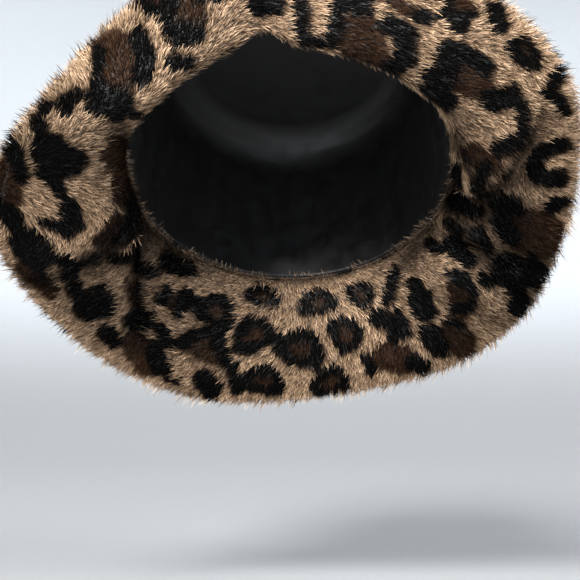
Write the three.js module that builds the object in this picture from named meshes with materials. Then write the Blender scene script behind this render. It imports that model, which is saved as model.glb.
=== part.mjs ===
// A fur bucket hat with a wide, soft, double brim, tipped back so that the brim frames the face.
// The origin is where the hat sits on the head, at the inside of the crown's top. +X is the
// wearer's left, -Y is the front and +Z is up.

import * as THREE from 'three';

// Driving dimensions, in millimetres and degrees

const ringHalfWidth = 90; // head opening at the brim seam, from the middle to the side
const ringHalfDepth = 99; // head opening at the brim seam, from the middle to the front
const leanBack = 39; // how far the hat is tipped back on the head
const crownDepth = 98; // from the brim seam up to the inside of the top
const crownTaper = 0.86; // width at the top of the crown as a share of the head opening
const crownEdgeRadius = 24; // bend from the side of the crown into its top
const crownDome = 3; // rise of the top's middle above its edge
const tipSeamAngle = 50; // where on that bend the side is sewn to the top
const tipSeamOpenAngle = 1; // how much of the bend is left open between the two there
const liningThickness = 1.2;
const crownFurThickness = 8; // cloth backing and lying pile together
const brimWidth = 90; // from the seam to the free edge, along the cloth
const brimThickness = 14; // two layers of fur, back to back
const seamGap = 0.3; // clearance between neighbouring pieces
const lockLength = 5; // how far the tufts stand out at the free edge
const lockRelief = 1.2; // how far the locks of the pile stand out elsewhere
const crownWall = liningThickness + seamGap + crownFurThickness;

// The brim's section at stations round the hat, every 20 degrees from the front towards the
// wearer's left. spread, lift and roll are shares of the brim's width: the free edge lies spread
// outwards and lift upwards from the seam, and roll is how far the fur is pushed out below the
// seam before it turns outwards. turn is the angle above the seam ring at which the edge ends.

const brimSections = [
  { spread: 0.44, lift: 0.24, roll: 0.66, turn: 52 },
  { spread: 0.5, lift: 0.18, roll: 0.74, turn: 48 },
  { spread: 0.62, lift: 0.02, roll: 0.74, turn: 34 },
  { spread: 0.74, lift: -0.24, roll: 0.62, turn: 6 },
  { spread: 0.65, lift: -0.38, roll: 0.5, turn: -12 },
  { spread: 0.61, lift: -0.44, roll: 0.38, turn: -20 },
  { spread: 0.67, lift: -0.46, roll: 0.34, turn: -24 },
  { spread: 0.65, lift: -0.5, roll: 0.34, turn: -30 },
  { spread: 0.56, lift: -0.53, roll: 0.34, turn: -34 },
  { spread: 0.58, lift: -0.54, roll: 0.34, turn: -34 },
  { spread: 0.69, lift: -0.53, roll: 0.34, turn: -34 },
  { spread: 0.71, lift: -0.5, roll: 0.34, turn: -30 },
  { spread: 0.71, lift: -0.46, roll: 0.36, turn: -24 },
  { spread: 0.75, lift: -0.42, roll: 0.4, turn: -18 },
  { spread: 0.7, lift: -0.36, roll: 0.52, turn: -8 },
  { spread: 0.53, lift: -0.26, roll: 0.66, turn: 12 },
  { spread: 0.43, lift: -0.04, roll: 0.7, turn: 36 },
  { spread: 0.46, lift: 0.16, roll: 0.6, turn: 48 },
];
const hold = 0.34; // share of the width along which the edge keeps its turn
const innerRoll = 0.42; // roll of the upper face as a share of the facing's

// Folds of the brim. Each runs from an angle at the seam to an angle at the free edge, between
// two shares of the way there. ahead and behind are its half-widths on its front and back sides,
// rise is its height towards the facing and lap is how far its crest leans back over its
// neighbour, all as shares of the brim's width.

const folds = [
  // the pleat on the wearer's right, whose upper lobe lies over the lower brim
  { seam: -103, rim: -106, starts: 0, ends: 0.92, ahead: 0.42, behind: 0.05, rise: 0.2, lap: 0.05 },
  // the upright valley below it, with a ridge on its far side
  { seam: -114, rim: -139, starts: 0, ends: 0.95, ahead: 0.09, behind: 0.08, rise: -0.12, lap: 0 },
  { seam: -128, rim: -149, starts: 0.2, ends: 1, ahead: 0.09, behind: 0.16, rise: 0.05, lap: 0 },
  // the pinch at the front, a little to the wearer's right
  { seam: -8, rim: -8, starts: 0, ends: 0.62, ahead: 0.12, behind: 0.12, rise: -0.13, lap: 0 },
  // the lobe that ends at the wearer's left temple, and the dip behind it
  { seam: 78, rim: 62, starts: 0, ends: 0.8, ahead: 0.3, behind: 0.1, rise: 0.09, lap: 0.02 },
  { seam: 90, rim: 72, starts: 0.1, ends: 0.95, ahead: 0.07, behind: 0.09, rise: -0.12, lap: 0 },
  // the roll and the slanting valleys below it
  { seam: 106, rim: 100, starts: 0, ends: 0.7, ahead: 0.1, behind: 0.08, rise: 0.1, lap: 0 },
  { seam: 118, rim: 106, starts: 0.05, ends: 1, ahead: 0.07, behind: 0.08, rise: -0.1, lap: 0 },
  { seam: 128, rim: 120, starts: 0.2, ends: 1, ahead: 0.1, behind: 0.14, rise: 0.06, lap: 0 },
];
const edgeRound = 0.78; // share of the way past which the two layers close in a round
const edgeFullness = 0.12; // what is left of their thickness at the free edge
const foldFade = 0.22; // share of the way over which a fold starts and ends
const upperFoldShare = 0.6; // height of a fold on the upper face as a share of the facing's
const upperFoldSpread = 0.06; // and how much wider it is there, as a share of the brim's width

// How finely the pieces are divided

const stationCount = 80;
const foldCrowding = 1.1; // extra stations at a fold, as a share of the plain spacing
const foldCrowdingAngle = 7; // how far each side of a fold they crowd
const edgeCrowding = 1.5; // power of the spacing of the rows, which lie closer towards the edge
const facingRows = 11;
const backRows = 6;

// Colours and finishes

const facingFur = { color: 0x9a7650, roughness: 0.95, metalness: 0 };
const upperFur = { color: 0x94704b, roughness: 0.95, metalness: 0 };
const crownFur = { color: 0x8f6b46, roughness: 0.95, metalness: 0 };
const blackLining = { color: 0x0d0c0d, roughness: 0.8, metalness: 0 };

const fullTurn = 360;
const quarterTurn = 90;
const radians = THREE.MathUtils.degToRad;
const smoothstep = THREE.MathUtils.smoothstep;
const up = new THREE.Vector3(0, 0, 1);

// Directions at an angle round the hat, measured from the front towards the wearer's left

function outwards(angle) {
  return new THREE.Vector3(Math.sin(radians(angle)), -Math.cos(radians(angle)), 0);
}

function alongRing(angle) {
  return new THREE.Vector3(Math.cos(radians(angle)), Math.sin(radians(angle)), 0);
}

function ringPoint(angle) {
  const point = outwards(angle).multiply(new THREE.Vector3(ringHalfWidth, ringHalfDepth, 1));
  return point.setZ(-crownDepth);
}

// The shortest way round from one angle to another

function angleBetween(from, to) {
  return THREE.MathUtils.euclideanModulo(to - from + fullTurn / 2, fullTurn) - fullTurn / 2;
}

// One column of the section table, smoothed through its neighbours

function sectionShare(name, angle) {
  const count = brimSections.length;
  const place = (THREE.MathUtils.euclideanModulo(angle, fullTurn) * count) / fullTurn;
  const at = Math.floor(place);
  const t = place - at;
  const [before, here, next, after] = [-1, 0, 1, 2].map(
    (step) => brimSections[(at + step + count) % count][name],
  );
  const slopeHere = (next - before) / 2;
  const slopeNext = (after - here) / 2;
  const turnIn = 3 * (next - here) - 2 * slopeHere - slopeNext;
  const turnOut = 2 * (here - next) + slopeHere + slopeNext;
  return here + t * (slopeHere + t * (turnIn + t * turnOut));
}

// A point along a curve that leaves its first point towards the second and arrives from the third

function alongCurve(points, t) {
  const [start, leaves, arrives, end] = points;
  return new THREE.CubicBezierCurve3(start, leaves, arrives, end).getPoint(t);
}

// The smooth faces of the brim before it is folded: the facing, and the upper face behind it

function smoothFaces(angle, along) {
  const out = outwards(angle);
  const seam = ringPoint(angle);
  const roll = sectionShare('roll', angle) * brimWidth;
  const turn = radians(sectionShare('turn', angle));
  const spread = sectionShare('spread', angle) * brimWidth;
  const lift = sectionShare('lift', angle) * brimWidth;
  const edgeWay = out.clone().multiplyScalar(Math.cos(turn)).addScaledVector(up, Math.sin(turn));
  const edgeFace = out.clone().multiplyScalar(Math.sin(turn)).addScaledVector(up, -Math.cos(turn));
  const edge = seam.clone().addScaledVector(out, spread).addScaledVector(up, lift);

  const facingEnd = edge.clone().addScaledVector(edgeFace, brimThickness / 2);
  const upperEnd = edge.clone().addScaledVector(edgeFace, -brimThickness / 2);
  const upperSeam = seam.clone().addScaledVector(out, crownWall);
  const facing = [
    seam,
    seam.clone().addScaledVector(up, -roll),
    facingEnd.clone().addScaledVector(edgeWay, -hold * brimWidth),
    facingEnd,
  ];
  const upper = [
    upperSeam,
    upperSeam.clone().addScaledVector(up, -roll * innerRoll),
    upperEnd.clone().addScaledVector(edgeWay, -hold * brimWidth),
    upperEnd,
  ];
  return {
    facing: alongCurve(facing, along),
    upper: alongCurve(upper, along),
    edgeWay,
  };
}

// How much a fold lifts the brim at a place, and how much it leans it sideways

function foldShift(fold, angle, along, widening) {
  const line = fold.seam + (fold.rim - fold.seam) * along;
  const reach = (ringHalfWidth + ringHalfDepth) / 2 + sectionShare('spread', angle) * brimWidth * along;
  const away = (radians(angleBetween(line, angle)) * reach) / brimWidth;
  const side = away * lineSign(line) < 0 ? fold.ahead : fold.behind;
  const width = side + widening;
  const bump = Math.exp(-((away / width) ** 2));
  const fadeIn = smoothstep(along, fold.starts, fold.starts + foldFade);
  const fadeOut = 1 - smoothstep(along, fold.ends - foldFade, fold.ends + foldFade / 2);
  return bump * fadeIn * fadeOut;
}

// On the wearer's left, angles grow towards the back, and on the wearer's right towards the front

function lineSign(line) {
  return line < 0 ? -1 : 1;
}

// Both faces of the folded brim at a place

function brimFaces(angle, along) {
  const smooth = smoothFaces(angle, along);
  const outwardFace = smooth.facing.clone().sub(smooth.upper).normalize();
  const sideways = alongRing(angle);
  for (const fold of folds) {
    const onFacing = foldShift(fold, angle, along, 0) * brimWidth;
    const onUpper = foldShift(fold, angle, along, upperFoldSpread) * brimWidth * upperFoldShare;
    const lean = fold.lap * lineSign(fold.seam);
    smooth.facing.addScaledVector(outwardFace, onFacing * fold.rise);
    smooth.facing.addScaledVector(sideways, onFacing * lean);
    smooth.upper.addScaledVector(outwardFace, onUpper * fold.rise);
    smooth.upper.addScaledVector(sideways, onUpper * lean);
  }
  return smooth;
}

// The two layers of the brim lie back to back and close in a round at the free edge, where every
// other station carries a tuft. layer is 1 for the facing and -1 for the upper layer, and height
// runs from 0 on a layer's back to 1 on its fur.

function brimPoint(station, row, along, layer, height) {
  const { facing, upper, edgeWay } = brimFaces(station.angle, along);
  const pastRound = Math.max(0, (along - edgeRound) / (1 - edgeRound));
  const closing = Math.max(edgeFullness, Math.sqrt(1 - pastRound ** 2));
  const outOfFace = facing.clone().sub(upper);
  const thickness = outOfFace.length() / 2 - seamGap / 2;
  const relief = lock(station, row) * smoothstep(along, 0, foldFade);
  const distance = seamGap / 2 + height * (thickness + relief) * closing;
  const reach = station.tuft ? lockLength * smoothstep(along, edgeRound, 1) : 0;
  return facing
    .lerp(upper, 0.5)
    .addScaledVector(outOfFace.normalize(), layer * distance)
    .addScaledVector(edgeWay, reach);
}

// Locks of the pile stand out on every other place of a fur face

function lock(station, row) {
  return lockRelief * ((station.number + row) % 2);
}

// Stations round the hat, crowded where folds need them

function stations() {
  const samples = 720;
  const totals = [0];
  for (let i = 0; i < samples; i += 1) {
    const angle = (fullTurn * (i + 0.5)) / samples;
    let density = 1;
    for (const fold of folds) {
      const middle = (fold.seam + fold.rim) / 2;
      density += foldCrowding * Math.exp(-((angleBetween(middle, angle) / foldCrowdingAngle) ** 2));
    }
    totals.push(totals[i] + density);
  }
  const list = [];
  for (let number = 0; number < stationCount; number += 1) {
    const wanted = (totals[samples] * number) / stationCount;
    const at = totals.findIndex((total) => total > wanted) - 1;
    const share = (wanted - totals[at]) / (totals[at + 1] - totals[at]);
    const angle = (fullTurn * (at + share)) / samples;
    list.push({ number, angle, tuft: number % 2 === 1 });
  }
  return list;
}

// A closed skin over rings of points that all have the same count. The last ring joins the first,
// or else both end rings are single points on the axis. Neighbours that lie face to face have
// their rings in opposite orders, and crossed picks the other diagonal so that their facets match.

function skinOver(rings, hasPoles, crossed) {
  const positions = [];
  const starts = rings.map((ring) => {
    const start = positions.length / 3;
    ring.forEach((point) => positions.push(point.x, point.y, point.z));
    return start;
  });
  const triangles = [];
  const last = hasPoles ? rings.length - 1 : rings.length;
  for (let i = 0; i < last; i += 1) {
    const next = (i + 1) % rings.length;
    const count = Math.max(rings[i].length, rings[next].length);
    for (let j = 0; j < count; j += 1) {
      const k = (j + 1) % count;
      const pick = (ring, at) => starts[ring] + (rings[ring].length === 1 ? 0 : at);
      const [apexHere, apexNext] = crossed ? [k, j] : [j, k];
      if (rings[i].length > 1) triangles.push(pick(i, j), pick(i, k), pick(next, apexHere));
      if (rings[next].length > 1) triangles.push(pick(next, k), pick(next, j), pick(i, apexNext));
    }
  }
  const geometry = new THREE.BufferGeometry();
  geometry.setAttribute('position', new THREE.Float32BufferAttribute(positions, 3));
  geometry.setIndex(triangles);
  geometry.computeVertexNormals();
  return geometry;
}

// Shares of the way from the seam to the free edge, closer together towards the edge

function rowShares(count) {
  return Array.from({ length: count }, (_, i) => 1 - (1 - i / (count - 1)) ** edgeCrowding);
}

// One layer of the brim, from its fur round the free edge to its back

function brimLayer(list, layer) {
  const face = (rows, height) =>
    rowShares(rows).map((along, row) =>
      list.map((station) => brimPoint(station, row, along, layer, height)),
    );
  const rings = [...face(facingRows, 1), ...face(backRows, 0).reverse()];
  return layer > 0 ? rings : rings.reverse();
}

// The crown: a side that leans in, a round bend and a gently domed top, at a distance outside the
// lining's inner face. side, bend and top each run from 0 to 1.

const bendDepth = crownEdgeRadius + crownDome;

function crownScale(depthBelowTop) {
  return crownTaper + ((1 - crownTaper) * depthBelowTop) / crownDepth;
}

function crownPlace(angle, share, inset, height) {
  const point = outwards(angle).multiply(new THREE.Vector3(ringHalfWidth, ringHalfDepth, 0));
  const length = point.length();
  return point.multiplyScalar((length * share - inset) / length).setZ(height);
}

function crownSidePoint(angle, side, distance) {
  const height = THREE.MathUtils.lerp(-crownDepth + seamGap, -bendDepth, side);
  return crownPlace(angle, crownScale(-height), -distance, height);
}

function crownBendPoint(angle, bend, distance) {
  const turned = radians(quarterTurn * bend);
  const radius = crownEdgeRadius + distance;
  const inset = crownEdgeRadius - radius * Math.cos(turned);
  return crownPlace(angle, crownScale(bendDepth), inset, -bendDepth + radius * Math.sin(turned));
}

function crownTopPoint(angle, top, distance) {
  const rim = crownBendPoint(angle, 1, distance);
  const share = 1 - top;
  return rim.multiply(new THREE.Vector3(share, share, 1)).setZ(distance - crownDome * share ** 2);
}

// One face of the crown between two shares of the way from the seam to the middle of the top, at
// a distance outside the lining's inner face. A fur face is divided finely and has locks.

const tipSeam = tipSeamAngle / quarterTurn;
const tipSeamEnd = (tipSeamAngle + tipSeamOpenAngle) / quarterTurn;

const allOver = () => 1;
const towardsMiddle = (share) => 1 - share;
const runs = {
  side: { from: 0, to: 1, place: crownSidePoint, lockFullness: allOver },
  lowerBend: { from: 0, to: tipSeam, place: crownBendPoint, lockFullness: allOver },
  upperBend: { from: tipSeamEnd, to: 1, place: crownBendPoint, lockFullness: allOver },
  top: { from: 0, to: 1, place: crownTopPoint, lockFullness: towardsMiddle },
};
const furRowsOf = { side: 5, lowerBend: 2, upperBend: 2, top: 4 };
const backRowsOf = { side: 1, lowerBend: 2, upperBend: 2, top: 2 };

function crownFace(list, names, distance, isFur) {
  const rings = [];
  for (const name of names) {
    const { from, to, place, lockFullness } = runs[name];
    const rows = (isFur ? furRowsOf : backRowsOf)[name];
    const isContinued = rings.length > 0 && name !== 'upperBend';
    for (let row = isContinued ? 1 : 0; row <= rows; row += 1) {
      const share = THREE.MathUtils.lerp(from, to, row / rows);
      const fullness = isFur && row > 0 && row < rows ? lockFullness(share) : 0;
      rings.push(
        list.map((station) => place(station.angle, share, distance + fullness * lock(station, row))),
      );
    }
  }
  const endsOnAxis = names.at(-1) === 'top';
  return endsOnAxis ? [...rings.slice(0, -1), [rings.at(-1)[0]]] : rings;
}

const furBack = crownWall - crownFurThickness;

function crownSide(list) {
  const names = ['side', 'lowerBend'];
  return [...crownFace(list, names, crownWall, true), ...crownFace(list, names, furBack, false).reverse()];
}

function crownTop(list) {
  const names = ['upperBend', 'top'];
  return [...crownFace(list, names, furBack, false).reverse(), ...crownFace(list, names, crownWall, true)];
}

function crownLining(list) {
  const names = ['side', 'lowerBend', 'upperBend', 'top'];
  const outer = crownFace(list, names, liningThickness, false);
  return [...crownFace(list, names, 0, false).reverse(), ...outer];
}

// The hat

function piece(name, rings, { hasPoles = false, crossed = false }, finish) {
  const geometry = skinOver(rings, hasPoles, crossed);
  const mesh = new THREE.Mesh(geometry, new THREE.MeshStandardMaterial(finish));
  mesh.name = name;
  return mesh;
}

const allStations = stations();
const hat = new THREE.Group();
hat.add(piece('brim_under', brimLayer(allStations, 1), {}, facingFur));
hat.add(piece('brim_upper', brimLayer(allStations, -1), { crossed: true }, upperFur));
hat.add(piece('crown_side', crownSide(allStations), {}, crownFur));
hat.add(piece('crown_top', crownTop(allStations), { hasPoles: true, crossed: true }, crownFur));
hat.add(piece('crown_lining', crownLining(allStations), { hasPoles: true, crossed: true }, blackLining));
hat.rotation.x = -radians(leanBack);

const furHat = new THREE.Group();
furHat.add(hat);

export default furHat;
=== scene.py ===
import math

import bpy
import numpy as np
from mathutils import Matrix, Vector, noise


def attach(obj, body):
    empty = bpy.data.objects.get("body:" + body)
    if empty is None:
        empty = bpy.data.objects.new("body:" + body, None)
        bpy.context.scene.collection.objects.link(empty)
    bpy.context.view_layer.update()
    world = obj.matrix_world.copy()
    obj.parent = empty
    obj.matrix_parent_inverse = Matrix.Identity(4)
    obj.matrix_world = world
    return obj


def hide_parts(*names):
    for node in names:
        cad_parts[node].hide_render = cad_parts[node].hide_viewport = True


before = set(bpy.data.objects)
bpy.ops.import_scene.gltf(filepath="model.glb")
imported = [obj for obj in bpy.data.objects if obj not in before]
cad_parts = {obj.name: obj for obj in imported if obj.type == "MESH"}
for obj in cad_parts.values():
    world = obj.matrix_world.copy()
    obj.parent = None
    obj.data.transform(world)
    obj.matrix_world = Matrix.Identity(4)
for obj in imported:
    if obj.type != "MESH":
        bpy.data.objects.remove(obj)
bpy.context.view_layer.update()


# The view
# The hat is seen level from straight ahead through a long lens, as in the photograph, whose
# frame is 580 pixels square. A place on the hat can be named by the pixel that shows it.

frame_pixels = 580
sensor_width = 36
camera_lens = 102.5
camera_depth = -0.96167
camera_height = -0.14616

camera = bpy.data.objects.new("camera", bpy.data.cameras.new("camera"))
camera.data.sensor_width = sensor_width
camera.data.lens = camera_lens
camera.location = (0, camera_depth, camera_height)
camera.rotation_euler = (math.radians(90), 0, 0)
bpy.context.scene.collection.objects.link(camera)
bpy.context.scene.camera = camera
bpy.context.scene.view_settings.view_transform = "Standard"


def photo_place(points):
    """How far across and down the photograph these points are seen, in its pixels."""
    pixel = (points[..., 1] - camera_depth) * sensor_width / camera_lens / frame_pixels
    across = frame_pixels / 2 + points[..., 0] / pixel
    down = frame_pixels / 2 - (points[..., 2] - camera_height) / pixel
    return across, down


# The backing of the brim's facing
# A wide ring of knitted cloth, the underside of the double brim, sewn to the crown at its inner
# edge and to the upper layer at its free edge. The leopard spots are printed on its pile.

ring_half_width = 0.090
ring_half_depth = 0.099
lean_back = math.radians(39)
crown_depth = 0.098
crown_taper = 0.86
crown_edge_radius = 0.024
crown_dome = 0.003
tip_seam_angle = 50
lining_thickness = 0.0012
crown_fur_thickness = 0.008
brim_width = 0.090
brim_thickness = 0.014
seam_gap = 0.0003
crown_wall = lining_thickness + seam_gap + crown_fur_thickness
full_turn = 360
straight_up = np.array([0.0, 0.0, 1.0])

# The brim's section at every 20 degrees, from the front towards the wearer's left. The free edge
# lies spread outwards and lift upwards from the seam, and roll is how far the cloth is pushed out
# below the seam first, all in widths of the brim. turn is the angle at which the edge ends.

brim_sections = [
    dict(spread=0.44, lift=0.24, roll=0.66, turn=52),
    dict(spread=0.5, lift=0.18, roll=0.74, turn=48),
    dict(spread=0.62, lift=0.02, roll=0.74, turn=34),
    dict(spread=0.74, lift=-0.24, roll=0.62, turn=6),
    dict(spread=0.65, lift=-0.38, roll=0.5, turn=-12),
    dict(spread=0.61, lift=-0.44, roll=0.38, turn=-20),
    dict(spread=0.67, lift=-0.46, roll=0.34, turn=-24),
    dict(spread=0.65, lift=-0.5, roll=0.34, turn=-30),
    dict(spread=0.56, lift=-0.53, roll=0.34, turn=-34),
    dict(spread=0.58, lift=-0.54, roll=0.34, turn=-34),
    dict(spread=0.69, lift=-0.53, roll=0.34, turn=-34),
    dict(spread=0.71, lift=-0.5, roll=0.34, turn=-30),
    dict(spread=0.71, lift=-0.46, roll=0.36, turn=-24),
    dict(spread=0.75, lift=-0.42, roll=0.4, turn=-18),
    dict(spread=0.7, lift=-0.36, roll=0.52, turn=-8),
    dict(spread=0.53, lift=-0.26, roll=0.66, turn=12),
    dict(spread=0.43, lift=-0.04, roll=0.7, turn=36),
    dict(spread=0.46, lift=0.16, roll=0.6, turn=48),
]
edge_hold = 0.34  # share of the width along which the edge keeps its turn
inner_roll = 0.42  # roll of the upper layer as a share of the facing's
edge_round = 0.78  # share of the way past which the two layers close in a round
edge_fullness = 0.12  # what is left of their thickness at the free edge

# Each fold runs from an angle at the seam to one at the free edge, between two shares of the way.
# ahead and behind are its half-widths, rise is its height towards the facing and lap is how far
# its crest leans over its neighbour, all in widths of the brim.

brim_folds = [
    dict(seam=-98, rim=-106, starts=0, ends=0.92, ahead=0.42, behind=0.05, rise=0.22, lap=0.12),
    dict(seam=-115, rim=-147, starts=0, ends=0.95, ahead=0.08, behind=0.08, rise=-0.07, lap=0),
    dict(seam=-130, rim=-158, starts=0.2, ends=1, ahead=0.09, behind=0.16, rise=0.05, lap=0),
    dict(seam=-8, rim=-8, starts=0, ends=0.62, ahead=0.12, behind=0.12, rise=-0.13, lap=0),
    dict(seam=84, rim=62, starts=0, ends=0.76, ahead=0.3, behind=0.055, rise=0.15, lap=0.1),
    dict(seam=94, rim=72, starts=0.05, ends=0.85, ahead=0.07, behind=0.09, rise=-0.12, lap=0),
    dict(seam=106, rim=100, starts=0, ends=0.7, ahead=0.1, behind=0.08, rise=0.1, lap=0),
    dict(seam=118, rim=106, starts=0.05, ends=1, ahead=0.07, behind=0.08, rise=-0.1, lap=0),
    dict(seam=128, rim=120, starts=0.2, ends=1, ahead=0.1, behind=0.14, rise=0.06, lap=0),
]
fold_fade = 0.22  # share of the way over which a fold starts and ends
upper_fold_share = 0.6  # its height on the upper layer as a share of the facing's
upper_fold_spread = 0.06  # and how much wider it is there


def smooth_step(value, low, high):
    """From 0 at the low value to 1 at the high one."""
    share = np.clip((value - low) / (high - low), 0, 1)
    return share * share * (3 - 2 * share)


def unit(vectors):
    return vectors / np.maximum(np.linalg.norm(vectors, axis=-1, keepdims=True), 1e-9)


def outwards(angles):
    """Away from the middle of the hat at these angles, from the front to the wearer's left."""
    turned = np.radians(angles)
    return np.stack([np.sin(turned), -np.cos(turned), 0 * turned], axis=-1)


def along_ring(angles):
    turned = np.radians(angles)
    return np.stack([np.cos(turned), np.sin(turned), 0 * turned], axis=-1)


def brim_share(column, angles):
    """One column of the section table, smoothed through its neighbours."""
    values = np.array([row[column] for row in brim_sections], dtype=float)
    place = np.mod(angles, full_turn) * len(values) / full_turn
    at = np.floor(place).astype(int)
    t = place - at
    before, here, after, beyond = (values[(at + step) % len(values)] for step in (-1, 0, 1, 2))
    slope_here = (after - before) / 2
    slope_after = (beyond - here) / 2
    turn_in = 3 * (after - here) - 2 * slope_here - slope_after
    turn_out = 2 * (here - after) + slope_here + slope_after
    return here + t * (slope_here + t * (turn_in + t * turn_out))


def fold_shift(fold, angles, along, widening):
    """How much of a fold's height the cloth has at each place."""
    line = fold["seam"] + (fold["rim"] - fold["seam"]) * along
    seam_radius = (ring_half_width + ring_half_depth) / 2
    reach = seam_radius + brim_share("spread", angles) * brim_width * along
    between = np.mod(angles - line + full_turn / 2, full_turn) - full_turn / 2
    away = np.radians(between) * reach / brim_width
    sign = np.where(line < 0, -1, 1)
    half_width = np.where(away * sign < 0, fold["ahead"], fold["behind"]) + widening
    fade_in = smooth_step(along, fold["starts"], fold["starts"] + fold_fade)
    fade_out = 1 - smooth_step(along, fold["ends"] - fold_fade, fold["ends"] + fold_fade / 2)
    return np.exp(-((away / half_width) ** 2)) * fade_in * fade_out


def along_curve(start, leaves, arrives, end, t):
    s = 1 - t
    return s**3 * start + 3 * s**2 * t * leaves + 3 * s * t**2 * arrives + t**3 * end


def brim_faces(angles, along):
    """The folded brim's two faces."""
    out = outwards(angles)
    roll = (brim_share("roll", angles) * brim_width)[:, None]
    turn = np.radians(brim_share("turn", angles))[:, None]
    spread = (brim_share("spread", angles) * brim_width)[:, None]
    lift = (brim_share("lift", angles) * brim_width)[:, None]
    seam = out * [ring_half_width, ring_half_depth, 1] - straight_up * crown_depth
    edge_way = out * np.cos(turn) + straight_up * np.sin(turn)
    edge_face = out * np.sin(turn) - straight_up * np.cos(turn)
    edge = seam + out * spread + straight_up * lift
    facing_end = edge + edge_face * brim_thickness / 2
    upper_end = edge - edge_face * brim_thickness / 2
    upper_seam = seam + out * crown_wall
    t = along[:, None, None]
    hold = edge_way * edge_hold * brim_width
    facing_roll = seam - straight_up * roll
    upper_roll = upper_seam - straight_up * roll * inner_roll
    facing = along_curve(seam, facing_roll, facing_end - hold, facing_end, t)
    upper = along_curve(upper_seam, upper_roll, upper_end - hold, upper_end, t)
    face_way = unit(facing - upper)
    sideways = along_ring(angles)
    for fold in brim_folds:
        lean = fold["lap"] * (-1 if fold["seam"] < 0 else 1)
        on_facing = (fold_shift(fold, angles, along[:, None], 0) * brim_width)[..., None]
        on_upper = fold_shift(fold, angles, along[:, None], upper_fold_spread)[..., None]
        on_upper = on_upper * brim_width * upper_fold_share
        facing = facing + on_facing * (face_way * fold["rise"] + sideways * lean)
        upper = upper + on_upper * (face_way * fold["rise"] + sideways * lean)
    return facing, upper


def leaned(vectors):
    """The hat is tipped back on the head."""
    x, y, z = np.moveaxis(vectors, -1, 0)
    cosine, sine = math.cos(lean_back), math.sin(lean_back)
    return np.stack([x, y * cosine + z * sine, z * cosine - y * sine], axis=-1)


def brim_skin(angles, along, layer, height):
    """A face inside one layer of the brim, from 0 at its back to 1 at the top of its pile."""
    facing, upper = brim_faces(angles, along)
    past_round = np.clip((along - edge_round) / (1 - edge_round), 0, 1)
    closing = np.maximum(edge_fullness, np.sqrt(1 - past_round**2))[:, None, None]
    out_of_face = facing - upper
    thickness = np.linalg.norm(out_of_face, axis=-1, keepdims=True) / 2 - seam_gap / 2
    distance = seam_gap / 2 + height * thickness * closing
    return leaned((facing + upper) / 2 + unit(out_of_face) * layer * distance)


def ring_mesh(name, rings, ends=None):
    """A closed mesh over rings of points, with a map that runs round and along it. The last ring
    joins the first, or else the end rings are closed to these two points."""
    count = rings.shape[1]
    points = rings.reshape(-1, 3)
    rows = len(rings) - 1 if ends else len(rings)
    i, j = np.meshgrid(np.arange(rows), np.arange(count), indexing="ij")
    i, j = i.ravel(), j.ravel()
    next_i, next_j = (i + 1) % len(rings), (j + 1) % count
    this_ring, next_ring = i * count, next_i * count
    corners = [this_ring + j, this_ring + next_j, next_ring + next_j, next_ring + j]
    faces = np.stack(corners, axis=-1).tolist()
    across = np.stack([j, j + 1, j + 1, j], axis=-1) / count
    upwards = np.stack([i, i, i + 1, i + 1], axis=-1) / rows
    chart = np.stack([across, upwards], axis=-1).reshape(-1, 2)
    if ends:
        first, last = np.arange(count), np.arange(count) + (len(rings) - 1) * count
        low, high = len(points), len(points) + 1
        points = np.concatenate([points, ends])
        for at in range(count):
            after = (at + 1) % count
            faces.append((int(first[after]), int(first[at]), low))
            faces.append((int(last[at]), int(last[after]), high))
        at = np.arange(count)[:, None, None] / count
        low_cap, high_cap = [(1, 0), (0, 0), (0.5, 0)], [(0, 1), (1, 1), (0.5, 1)]
        caps = np.array([low_cap + high_cap]) * [1 / count, 1]
        caps = caps + np.concatenate([at, 0 * at], axis=-1)
        chart = np.concatenate([chart, caps.reshape(-1, 2)])
    mesh = bpy.data.meshes.new(name)
    mesh.from_pydata(points, [], faces)
    mesh.uv_layers.new(name="OFBake").data.foreach_set("uv", chart.astype(np.float32).ravel())
    mesh.polygons.foreach_set("use_smooth", np.ones(len(faces), dtype=bool))
    mesh.update()
    return mesh


def add_values(mesh, name, values, kind="FLOAT"):
    layer = mesh.attributes.new(name, kind, "POINT")
    field = "vector" if kind == "FLOAT_VECTOR" else "value"
    layer.data.foreach_set(field, values.astype(np.float32).ravel())


def point_places(mesh):
    return np.array([point.co for point in mesh.vertices])


def point_normals(mesh):
    normals = np.empty(len(mesh.vertices) * 3, dtype=np.float32)
    mesh.vertices.foreach_get("normal", normals)
    return normals.reshape(-1, 3).astype(float)


def place_piece(name, mesh):
    piece = bpy.data.objects.new(name, mesh)
    bpy.context.scene.collection.objects.link(piece)
    return piece


facing_height = 0.42  # where the cloth lies in the facing's thickness, under its pile
facing_columns = 660
facing_rows = 56
back_rows = 6
row_crowding = 1.3  # power of the spacing of the rows, which lie closer towards the free edge
seam_cover = 0.7  # share of the pile's hairs that stand right at the seam

# Marks of the print on the facing, by the photograph's pixels: each is a stroke from one place
# to another in a black or a brown ink.

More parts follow.
